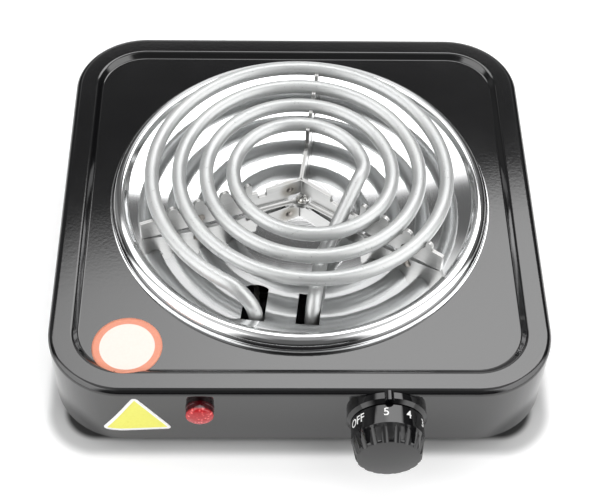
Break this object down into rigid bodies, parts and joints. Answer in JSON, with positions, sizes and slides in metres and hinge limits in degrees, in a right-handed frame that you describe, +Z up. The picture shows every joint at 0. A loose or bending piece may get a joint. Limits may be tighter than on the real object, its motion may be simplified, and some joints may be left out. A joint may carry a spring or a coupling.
{
  "type": "electric hot plate",
  "caption": "Table-top electric hot plate: square pressed housing, mirror drip bowl, tubular spiral element on a notched support, and a front thermostat knob with a pilot light.",
  "frame": {"origin": "on the table plane, under the centre of the outer box over the knob and the cord inlet", "axes": "+Z up; -Y towards the front wall with the knob and pilot light; +X to the right seen from the front"},
  "size_m": [0.22, 0.246, 0.0608],
  "materials": {
    "enamelled_shell": "black gloss enamel over pressed steel",
    "galvanised_sheet": "plain galvanised steel sheet",
    "rubber": "black moulded rubber",
    "zinc_fastener": "bright zinc plated steel",
    "mirror_steel": "mirror polished stainless sheet",
    "element_sheath": "satin nickel alloy sheath",
    "ceramic": "unglazed steatite",
    "support_strip": "plain rolled steel strip",
    "black_knob": "black gloss phenolic moulding",
    "brass": "turned brass",
    "spring_bronze": "rolled phosphor bronze",
    "bimetal": "rolled bimetal strip",
    "red_lens": "translucent red moulding",
    "lamp_glass": "clear glass envelope",
    "black_nylon": "black nylon moulding",
    "white_nylon": "natural white nylon moulding",
    "white_sleeving": "white glass fibre sleeving",
    "black_insulation": "black insulation"
  },
  "bodies": {
    "housing": {"top_housing": "enamelled_shell", "base_plate": "galvanised_sheet", "rubber_feet": "rubber", "foot_screws": "zinc_fastener", "corner_brackets": "galvanised_sheet", "drip_bowl": "mirror_steel", "bowl_tabs": "galvanised_sheet", "heating_coil": "element_sheath", "coil_end_seals": "ceramic", "terminal_pins": "zinc_fastener", "crimp_sleeves": "zinc_fastener", "support_front": "support_strip", "support_rear_left": "support_strip", "support_rear_right": "support_strip", "support_rivets": "zinc_fastener", "centre_screw": "zinc_fastener", "centre_washer": "zinc_fastener", "centre_nut": "zinc_fastener", "knob_bezel": "black_knob", "thermostat_bush": "brass", "thermostat_frame": "galvanised_sheet", "thermostat_screws": "zinc_fastener", "thermostat_rings": "ceramic", "stack_screw": "zinc_fastener", "contact_springs": "spring_bronze", "bimetal_strip": "bimetal", "indicator_lens": "red_lens", "lens_clip": "zinc_fastener", "neon_lamp": "lamp_glass", "cord_gland": "black_nylon", "terminal_block": "white_nylon", "terminal_inserts": "brass", "terminal_screws": "zinc_fastener", "earth_screw": "zinc_fastener", "earth_nut": "zinc_fastener", "coil_wire_left": "white_sleeving", "coil_wire_right": "white_sleeving", "feed_wire": "black_insulation", "lamp_wires": "white_sleeving"},
    "knob_set": {"knob": "black_knob", "knob_clip": "zinc_fastener", "thermostat_shaft": "zinc_fastener"}
  },
  "joints": [
    {"name": "knob_turn", "type": "hinge", "parent": "housing", "child": "knob_set", "pos_m": [0.037, -0.113, 0.0287], "axis": [0, -1, 0], "range_deg": [0, 290]}
  ]
}
